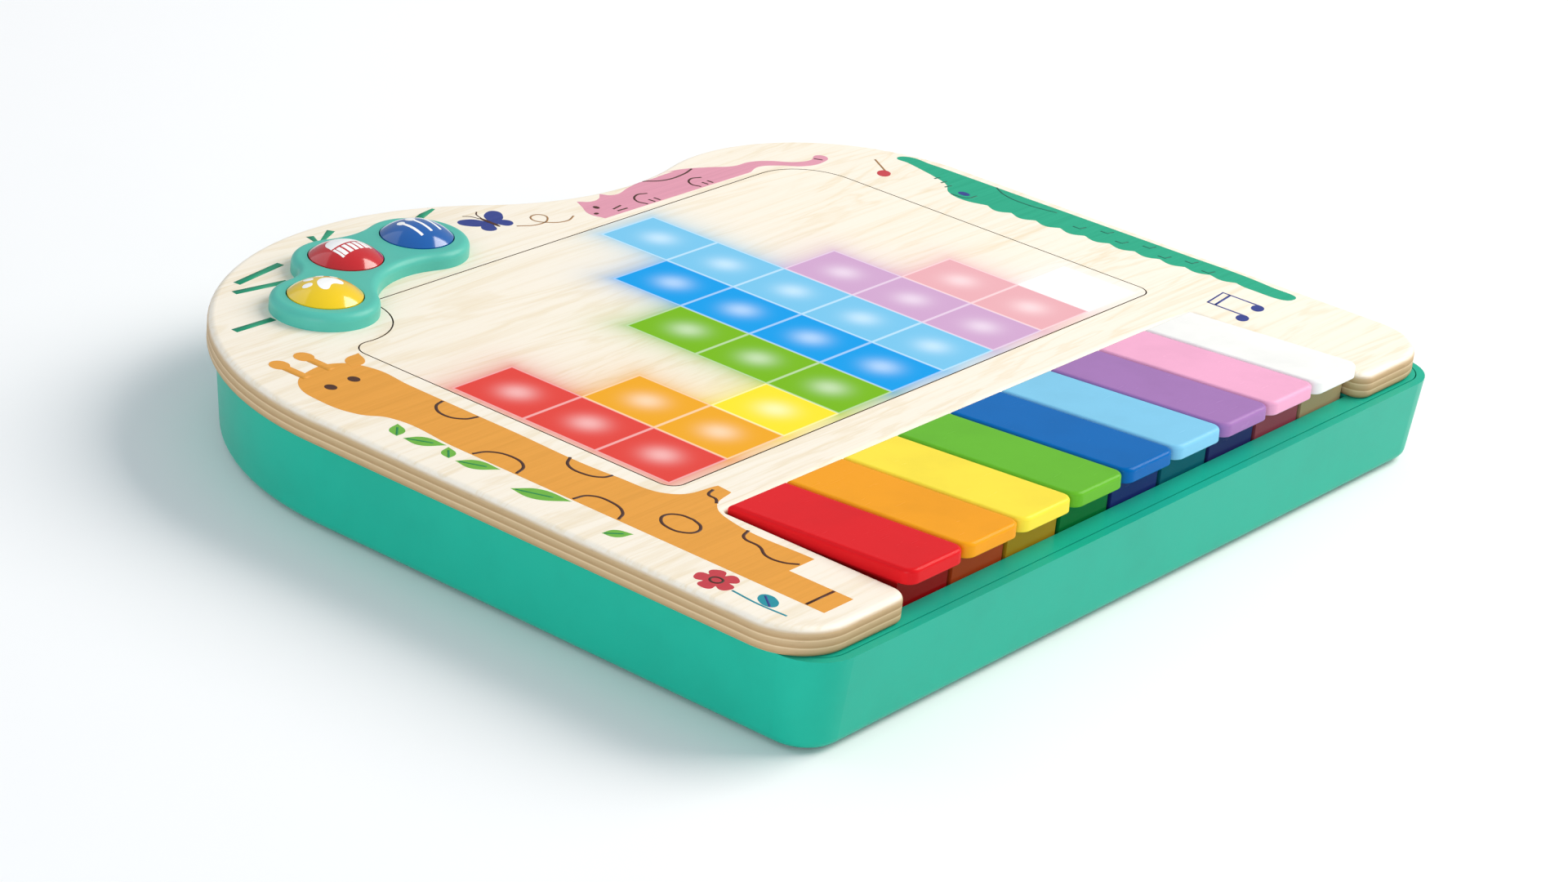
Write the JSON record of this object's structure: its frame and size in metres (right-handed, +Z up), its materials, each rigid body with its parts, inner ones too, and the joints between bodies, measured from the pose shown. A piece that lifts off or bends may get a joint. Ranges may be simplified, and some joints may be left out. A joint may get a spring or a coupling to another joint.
{
  "type": "toy electronic keyboard",
  "caption": "Child's electronic keyboard: lobed plywood top with a light-up window, hinged coloured keys and domed push buttons on a moulded tub.",
  "frame": {"origin": "on the table, at the middle of the keyboard's box seen from above", "axes": "+X along the keys to the player's right, +Y away from the player, +Z up"},
  "size_m": [0.31, 0.2758, 0.0449],
  "materials": {
    "plywood": "birch plywood under clear matt lacquer, rounded edges that show the plies",
    "veneer": "thin birch veneer that light shines through",
    "diffuser": "milky film",
    "grid_white": "white moulded, matt",
    "board_green": "circuit board",
    "led_white": "lamp package with a yellow-white lens",
    "steel": "plated steel",
    "moulded_grey": "grey moulded",
    "silicone": "soft translucent silicone",
    "case_teal": "teal green moulded plastic, satin gloss",
    "rubber": "grey-black rubber",
    "switch_black": "black moulded",
    "cell_jacket": "plain wrapped cell",
    "chip_black": "black resin",
    "magnet": "dark ferrite",
    "paper": "black paper",
    "key_red": "glossy moulded",
    "key_orange": "glossy moulded",
    "key_yellow": "glossy moulded",
    "key_green": "glossy moulded",
    "key_blue": "glossy moulded",
    "key_sky": "glossy moulded",
    "key_purple": "glossy moulded",
    "key_pink": "glossy moulded",
    "key_white": "glossy moulded",
    "button_yellow": "glossy dome with a printed mark",
    "button_red": "glossy dome with a printed mark",
    "button_blue": "glossy dome with a printed mark"
  },
  "bodies": {
    "case": {"top_plate": "plywood", "light_panel": "veneer", "light_diffuser": "diffuser", "light_grid": "grid_white", "led_board": "board_green", "leds": "led_white", "key_shaft": "steel", "hinge_rail": "moulded_grey", "key_board": "board_green", "key_dome_strip": "silicone", "button_housing": "case_teal", "button_board": "board_green", "button_switches": "switch_black", "lower_case": "case_teal", "upper_case": "case_teal", "rubber_feet": "rubber", "case_screws": "steel", "board_screws": "steel", "battery_box": "moulded_grey", "battery_cell_left": "cell_jacket", "battery_cell_middle": "cell_jacket", "battery_cell_right": "cell_jacket", "battery_contacts": "steel", "main_board": "board_green", "sound_chip": "chip_black", "capacitors": "chip_black", "power_switch_body": "switch_black", "speaker_frame": "steel", "speaker_magnet": "magnet", "speaker_cone": "paper"},
    "key_red": {"key_red": "key_red"},
    "key_orange": {"key_orange": "key_orange"},
    "key_yellow": {"key_yellow": "key_yellow"},
    "key_green": {"key_green": "key_green"},
    "key_blue": {"key_blue": "key_blue"},
    "key_sky": {"key_sky": "key_sky"},
    "key_purple": {"key_purple": "key_purple"},
    "key_pink": {"key_pink": "key_pink"},
    "key_white": {"key_white": "key_white"},
    "button_yellow": {"button_yellow": "button_yellow"},
    "button_red": {"button_red": "button_red"},
    "button_blue": {"button_blue": "button_blue"},
    "power_switch": {"power_switch_knob": "switch_black"},
    "battery_cover": {"battery_door": "case_teal", "door_screw": "steel"}
  },
  "joints": [
    {"name": "key_red_press", "type": "hinge", "parent": "case", "child": "key_red", "pos_m": [-0.098, -0.0641, 0.0233], "axis": [1, 0, 0], "range_deg": [0, 3.1], "stiffness_Nm_per_rad": 0.5, "springref_deg": -2.86},
    {"name": "key_orange_press", "type": "hinge", "parent": "case", "child": "key_orange", "pos_m": [-0.0735, -0.0641, 0.0233], "axis": [1, 0, 0], "range_deg": [0, 3.1], "stiffness_Nm_per_rad": 0.5, "springref_deg": -2.86},
    {"name": "key_yellow_press", "type": "hinge", "parent": "case", "child": "key_yellow", "pos_m": [-0.049, -0.0641, 0.0233], "axis": [1, 0, 0], "range_deg": [0, 3.1], "stiffness_Nm_per_rad": 0.5, "springref_deg": -2.86},
    {"name": "key_green_press", "type": "hinge", "parent": "case", "child": "key_green", "pos_m": [-0.0245, -0.0641, 0.0233], "axis": [1, 0, 0], "range_deg": [0, 3.1], "stiffness_Nm_per_rad": 0.5, "springref_deg": -2.86},
    {"name": "key_blue_press", "type": "hinge", "parent": "case", "child": "key_blue", "pos_m": [0, -0.0641, 0.0233], "axis": [1, 0, 0], "range_deg": [0, 3.1], "stiffness_Nm_per_rad": 0.5, "springref_deg": -2.86},
    {"name": "key_sky_press", "type": "hinge", "parent": "case", "child": "key_sky", "pos_m": [0.0245, -0.0641, 0.0233], "axis": [1, 0, 0], "range_deg": [0, 3.1], "stiffness_Nm_per_rad": 0.5, "springref_deg": -2.86},
    {"name": "key_purple_press", "type": "hinge", "parent": "case", "child": "key_purple", "pos_m": [0.049, -0.0641, 0.0233], "axis": [1, 0, 0], "range_deg": [0, 3.1], "stiffness_Nm_per_rad": 0.5, "springref_deg": -2.86},
    {"name": "key_pink_press", "type": "hinge", "parent": "case", "child": "key_pink", "pos_m": [0.0735, -0.0641, 0.0233], "axis": [1, 0, 0], "range_deg": [0, 3.1], "stiffness_Nm_per_rad": 0.5, "springref_deg": -2.86},
    {"name": "key_white_press", "type": "hinge", "parent": "case", "child": "key_white", "pos_m": [0.098, -0.0641, 0.0233], "axis": [1, 0, 0], "range_deg": [0, 3.1], "stiffness_Nm_per_rad": 0.5, "springref_deg": -2.86},
    {"name": "button_yellow_press", "type": "slide", "parent": "case", "child": "button_yellow", "axis": [0, 0, -1], "range_m": [0, 0.0016], "stiffness_N_per_m": 400, "springref_m": -0.002},
    {"name": "button_red_press", "type": "slide", "parent": "case", "child": "button_red", "axis": [0, 0, -1], "range_m": [0, 0.0016], "stiffness_N_per_m": 400, "springref_m": -0.002},
    {"name": "button_blue_press", "type": "slide", "parent": "case", "child": "button_blue", "axis": [0, 0, -1], "range_m": [0, 0.0016], "stiffness_N_per_m": 400, "springref_m": -0.002},
    {"name": "power_switch_slide", "type": "slide", "parent": "case", "child": "power_switch", "axis": [0, 1, 0], "range_m": [0, 0.005]},
    {"name": "battery_door_lift_off", "type": "slide", "parent": "case", "child": "battery_cover", "axis": [0, 0, -1], "range_m": [0, 0.015]}
  ]
}
